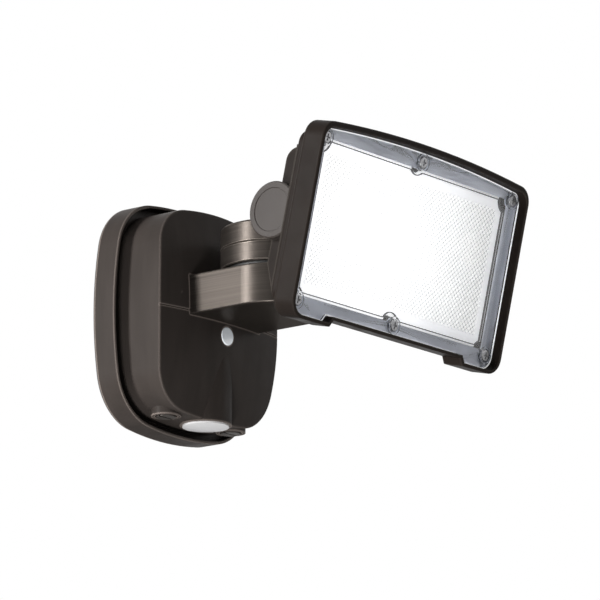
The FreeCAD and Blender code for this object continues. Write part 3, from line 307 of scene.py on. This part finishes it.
# Finer pieces on the head's front, in metres sideways from and above the lens middle.
# The lens screws: top and low middle, then top right, top left, low right and low left
SCREWS = ((0, 0.0518), (0, -0.0508), (0.095, 0.0473), (-0.095, 0.0473), (0.095, -0.0525),
          (-0.095, -0.0525))
SCOOPS = (0.0080, 0.0080, 0.0092, 0.0092, 0.0092, 0.0092)   # the field's clearance round each

# The white field on the panel, and the panel's front ahead of the tilt axis
FIELD_HALF = 0.0912
FIELD_TOP = 0.0462
FIELD_LOW = -0.0470
PANEL_FRONT = 0.0520

# Prisms: half their width and height, how far they rise, where they start above the panel,
# the plain margins at the field's sides, its ends and its scoops, and the lift at mid-edge for the
# painted shade
PRISM_WIDE = 0.00185
PRISM_TALL = 0.00175
PRISM_HIGH = 0.0007
PRISM_FOOT = 0.00002
MARGIN_SIDE = 0.0050
MARGIN_END = 0.0062
MARGIN_SCOOP = 0.0030
EDGE_LIFT = 0.1

# The dark line round the field: its width and height, and its runs in a corner's scoop and in
# a middle one. Any line's front is LINE_TAPER of its width.
FIELD_LINE = 0.0007
FIELD_LINE_HIGH = 0.0012
CORNER_RUNS = 10
MIDDLE_RUNS = 12
LINE_TAPER = 0.6

# The clear plate's outline: half width, low edge, the wide notch in it with its half width
# above and below, the top at the shoulders, the radius of the arched top and of the corners,
# and the runs that each of these two has. Then the painted highlight on it, a pale glowing
# line: width, back and front.
PLATE_SIDE = 0.1025
PLATE_LOW = -0.0606
NOTCH_UP = -0.0563
NOTCH_HALF = 0.0655
NOTCH_FOOT = 0.0685
PLATE_SHOULDER = 0.0528
PLATE_CROWN = 1.0
PLATE_ROUND = 0.008
CROWN_RUNS = 24
ROUND_RUNS = 8
PLATE_HIGHLIGHT_LINE = 0.0008
PLATE_HIGHLIGHT_LINE_BACK = 0.05695
PLATE_HIGHLIGHT_LINE_FRONT = 0.05740


def on_head(x, ahead, up):
    """A point of the head: sideways, ahead of the tilt axis, and above the lens middle."""
    return HEAD @ Vector((x, -ahead, up - DROP))


def new_piece(name, points, faces, mat):
    """An object with a mesh of its own, in the scene."""
    mesh = bpy.data.meshes.new(name)
    mesh.from_pydata(points, [], faces)
    mesh.update()
    mesh.materials.append(mat)
    obj = bpy.data.objects.new(name, mesh)
    bpy.context.scene.collection.objects.link(obj)
    return obj


def arc(x, up, radius, a, turn, runs):
    """Points round (x, up), from the angle a on by turn."""
    angles = [a + turn * t / runs for t in range(runs + 1)]
    return [(x + radius * math.cos(b), up + radius * math.sin(b)) for b in angles]


def prism_fits(x, up):
    """Whether a prism's middle is far enough inside the field."""
    return (abs(x) <= FIELD_HALF - MARGIN_SIDE
            and FIELD_LOW + MARGIN_END <= up <= FIELD_TOP - MARGIN_END
            and all(math.hypot(x - sx, up - su) >= scoop + MARGIN_SCOOP
                    for (sx, su), scoop in zip(SCREWS, SCOOPS)))


def facets():
    """Low four-sided prisms in offset rows, with a plain margin round them."""
    index = {}
    points = []
    lifts = []
    faces = []

    def corner(m, n, rise, lift):
        key = (round(2 * m), round(2 * n))
        if key not in index:
            index[key] = len(points)
            lifts.append(lift)
            points.append(on_head(m * PRISM_WIDE, PANEL_FRONT + PRISM_FOOT + rise,
                                  FIELD_LOW + n * PRISM_TALL))
        return index[key]

    rows = int((FIELD_TOP - FIELD_LOW) / PRISM_TALL)
    half = int(FIELD_HALF / PRISM_WIDE)
    for n in range(1, rows + 1):
        for m in range(-half, half + 1):
            if (m + n) % 2 or not prism_fits(m * PRISM_WIDE, FIELD_LOW + n * PRISM_TALL):
                continue
            top = corner(m, n, PRISM_HIGH, 1.0)
            ring = []
            for dm, dn in ((1, 0), (0, 1), (-1, 0), (0, -1)):
                ring.append(corner(m + dm, n + dn, 0, 0.0))
                ring.append(corner(m + (dm - dn) / 2, n + (dn + dm) / 2, 0, EDGE_LIFT))
            for k in range(len(ring)):
                faces.append((top, ring[k], ring[(k + 1) % len(ring)]))
    obj = new_piece("prism_facets", points, faces, prism_valley_shade)
    stored = obj.data.attributes.new("lift", "FLOAT", "POINT")
    for k, lift in enumerate(lifts):
        stored.data[k].value = lift
    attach(obj, "head")


def field_path():
    """The border of the white field, scooped out round the six screws, against the clock."""
    def level(k, up, way):
        """Where the scoop of screw k meets a level border, on its left (-1) or right (1)."""
        return SCREWS[k][0] + way * math.sqrt(SCOOPS[k] ** 2 - (SCREWS[k][1] - up) ** 2), up

    def side(k, x, way):
        """Where the scoop of screw k meets a side border, below (-1) or above (1) the screw."""
        return x, SCREWS[k][1] + way * math.sqrt(SCOOPS[k] ** 2 - (SCREWS[k][0] - x) ** 2)

    def scoop(k, first, last, runs):
        """Points round screw k between two points of the border, the short way."""
        x, up = SCREWS[k]
        a = math.atan2(first[1] - up, first[0] - x)
        b = math.atan2(last[1] - up, last[0] - x)
        return arc(x, up, SCOOPS[k], a, math.remainder(b - a, 2 * math.pi), runs)

    return (scoop(4, level(4, FIELD_LOW, -1), side(4, FIELD_HALF, 1), CORNER_RUNS)
            + scoop(2, side(2, FIELD_HALF, -1), level(2, FIELD_TOP, -1), CORNER_RUNS)
            + scoop(0, level(0, FIELD_TOP, 1), level(0, FIELD_TOP, -1), MIDDLE_RUNS)
            + scoop(3, level(3, FIELD_TOP, 1), side(3, -FIELD_HALF, -1), CORNER_RUNS)
            + scoop(5, side(5, -FIELD_HALF, 1), level(5, FIELD_LOW, 1), CORNER_RUNS)
            + scoop(1, level(1, FIELD_LOW, -1), level(1, FIELD_LOW, 1), MIDDLE_RUNS))


def plate_path():
    """The outline of the clear plate, drawn in by half a line's width."""
    notch = [(-NOTCH_HALF, NOTCH_UP), (NOTCH_HALF, NOTCH_UP), (NOTCH_FOOT, PLATE_LOW)]
    corner_x = PLATE_SIDE - PLATE_ROUND
    lean = math.asin(corner_x / PLATE_CROWN)
    right = arc(corner_x, PLATE_LOW + PLATE_ROUND, PLATE_ROUND, -math.pi / 2, math.pi / 2,
                ROUND_RUNS)
    right += arc(corner_x, PLATE_SHOULDER - PLATE_ROUND * math.cos(lean), PLATE_ROUND, 0,
                 math.pi / 2 - lean, ROUND_RUNS)
    end = right[-1][0]
    middle = PLATE_SHOULDER - math.sqrt(PLATE_CROWN ** 2 - end ** 2)
    top = []
    for t in range(1, CROWN_RUNS):
        x = end - 2 * end * t / CROWN_RUNS
        top.append((x, middle + math.sqrt(PLATE_CROWN ** 2 - x * x)))
    left = [(-x, up) for x, up in reversed(right)]
    return notch + right + top + left + [(-NOTCH_FOOT, PLATE_LOW)]


def strip(name, path, wide, back, front, mat):
    """A closed raised line, four-sided in section, along a path on the head."""
    count = len(path)
    points = []
    for i in range(count):
        x0, u0 = path[i - 1]
        x1, u1 = path[(i + 1) % count]
        nx, nu = u1 - u0, x0 - x1
        size = math.hypot(nx, nu) or 1.0
        nx, nu = nx / size * wide / 2, nu / size * wide / 2
        x, u = path[i]
        points += [on_head(x + nx, back, u + nu),
                   on_head(x + nx * LINE_TAPER, front, u + nu * LINE_TAPER),
                   on_head(x - nx * LINE_TAPER, front, u - nu * LINE_TAPER),
                   on_head(x - nx, back, u - nu)]
    faces = []
    for i in range(count):
        here = i * 4
        there = ((i + 1) % count) * 4
        for k in range(4):
            m = (k + 1) % 4
            faces.append((here + k, there + k, there + m, here + m))
    obj = new_piece(name, points, faces, mat)
    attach(obj, "head")


facets()
strip("field_line", field_path(), FIELD_LINE, PANEL_FRONT, PANEL_FRONT + FIELD_LINE_HIGH,
      SLOTS["black_plastic"])
# painted highlight: a pale glowing line along the clear plate's edge
strip("lens_edge_highlight", plate_path(), PLATE_HIGHLIGHT_LINE, PLATE_HIGHLIGHT_LINE_BACK, PLATE_HIGHLIGHT_LINE_FRONT, plate_edge_highlight)

# Floor: nearly white to the camera. Its glow is for camera rays alone, so it lights nothing.
FLOOR_SIZE = 60
FLOOR_LEVEL = -3.4
FLOOR_SEEN = 0.68
bpy.ops.mesh.primitive_plane_add(size=FLOOR_SIZE, location=(0, 0, FLOOR_LEVEL))
floor = bpy.context.object
floor.name = "floor"
floor_mat, floor_tree, floor_shader = new_material("floor_white")
floor_shader.inputs["Base Color"].default_value = (0.92, 0.92, 0.92, 1)
floor_shader.inputs["Roughness"].default_value = 0.7
floor_shader.inputs["Emission Color"].default_value = (1, 1, 1, 1)
floor_ray = add(floor_tree, "ShaderNodeLightPath")
floor_glow = add(floor_tree, "ShaderNodeMapRange")
floor_glow.inputs["To Max"].default_value = FLOOR_SEEN
floor_tree.links.new(floor_ray.outputs["Is Camera Ray"], floor_glow.inputs["Value"])
floor_tree.links.new(floor_glow.outputs["Result"], floor_shader.inputs["Emission Strength"])
floor.data.materials.append(floor_mat)

# World: white where it is seen, also in gloss and through glass, and a soft fill elsewhere
WORLD_FILL = 0.18
WORLD_SEEN = 1.0
world = bpy.data.worlds.new("studio")
bpy.context.scene.world = world
world.use_nodes = True
tree = world.node_tree
tree.nodes.clear()


def background(strength):
    """A white background of the world."""
    node = add(tree, "ShaderNodeBackground")
    node.inputs["Color"].default_value = (1, 1, 1, 1)
    node.inputs["Strength"].default_value = strength
    return node.outputs["Background"]


def larger(first, second):
    """The larger of two values in the world's tree."""
    node = add(tree, "ShaderNodeMath", operation="MAXIMUM")
    tree.links.new(first, node.inputs[0])
    tree.links.new(second, node.inputs[1])
    return node.outputs["Value"]


ray = add(tree, "ShaderNodeLightPath").outputs
seen = larger(larger(ray["Is Camera Ray"], ray["Is Transmission Ray"]), ray["Is Glossy Ray"])
mix = add(tree, "ShaderNodeMixShader")
tree.links.new(seen, mix.inputs["Fac"])
tree.links.new(background(WORLD_FILL), mix.inputs[1])
tree.links.new(background(WORLD_SEEN), mix.inputs[2])
tree.links.new(mix.outputs["Shader"], add(tree, "ShaderNodeOutputWorld").inputs["Surface"])

# Soft boxes: name, place, width and height in metres, and watts. All face AIM.
AIM = Vector((0, -0.1, 0))
BOXES = (
    ("left_box", (-2.8, 1.25, 0.3), (0.6, 2.2), 165),
    ("low_box", (-1.9, -0.75, -2.1), (0.7, 0.7), 70),
    ("top_box", (-0.2, -0.6, 2.8), (1.4, 1.4), 20),
    ("right_box", (2.2, -1.9, 0.9), (1.2, 1.2), 10),
)
for name, place, size, watts in BOXES:
    lamp = bpy.data.lights.new(name, "AREA")
    lamp.shape = "RECTANGLE"
    lamp.size, lamp.size_y = size
    lamp.energy = watts
    obj = bpy.data.objects.new(name, lamp)
    obj.location = place
    obj.rotation_euler = (AIM - Vector(place)).to_track_quat("-Z", "Y").to_euler()
    bpy.context.scene.collection.objects.link(obj)

# Camera at the photograph's angle: from the left front and a little below. Its distance, the
# way to the view's middle and the picture's width are in pixels of PIXEL metres each.
TURN = math.radians(51.58)
RISE = math.radians(13.78)
PIXEL = 0.00064
PICTURE = 600
DISTANCE = 4700.6
MIDDLE_RIGHT = 136.9
MIDDLE_UP = 29.14
SENSOR = 36
camera_data = bpy.data.cameras.new("camera")
camera = bpy.data.objects.new("camera", camera_data)
bpy.context.scene.collection.objects.link(camera)
right = Vector((math.cos(TURN), -math.sin(TURN), 0))
ahead = Vector((math.sin(TURN) * math.cos(RISE), math.cos(TURN) * math.cos(RISE), math.sin(RISE)))
up = right.cross(ahead)
basis = Matrix((right, up, -ahead)).transposed()
place = right * (MIDDLE_RIGHT * PIXEL) + up * (MIDDLE_UP * PIXEL) - ahead * (DISTANCE * PIXEL)
camera.matrix_world = Matrix.Translation(place) @ basis.to_4x4()
camera_data.sensor_width = SENSOR
camera_data.lens = DISTANCE / PICTURE * SENSOR
camera_data.clip_start = 0.05
camera_data.clip_end = 100
bpy.context.scene.camera = camera
bpy.context.scene.view_settings.view_transform = "Standard"
